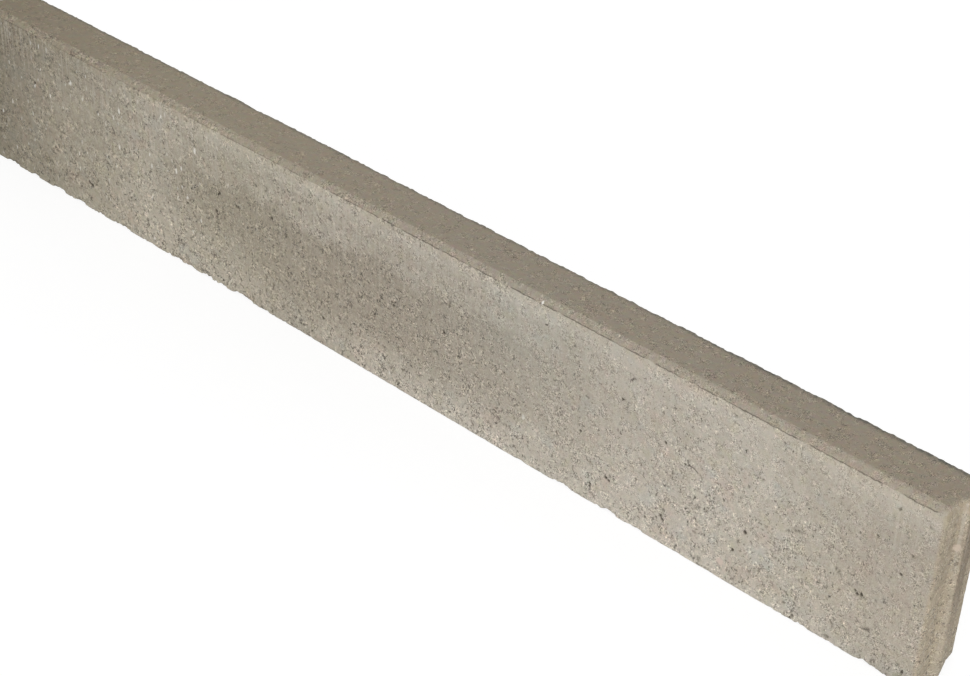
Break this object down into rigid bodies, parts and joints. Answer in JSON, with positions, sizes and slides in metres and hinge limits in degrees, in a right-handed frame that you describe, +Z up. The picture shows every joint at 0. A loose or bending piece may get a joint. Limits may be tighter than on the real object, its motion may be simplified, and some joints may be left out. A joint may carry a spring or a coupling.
{
  "type": "concrete edging kerb stone",
  "caption": "Long narrow concrete kerb on edge, with chamfered top edges, a tapered tongue on one end and a matching groove in the other.",
  "frame": {"origin": "middle of the bed, at the centre of the whole kerb with its tongue", "axes": "+X along the kerb, out of the end with the tongue; +Y through its thickness, from the front face to the back face; +Z up, from the bed to the chamfered top"},
  "size_m": [1.006, 0.05, 0.15],
  "materials": {
    "concrete": "pressed concrete: smooth top, drag-marked and pitted sides"
  },
  "bodies": {
    "root": {"kerb_stone": "concrete"}
  },
  "joints": []
}
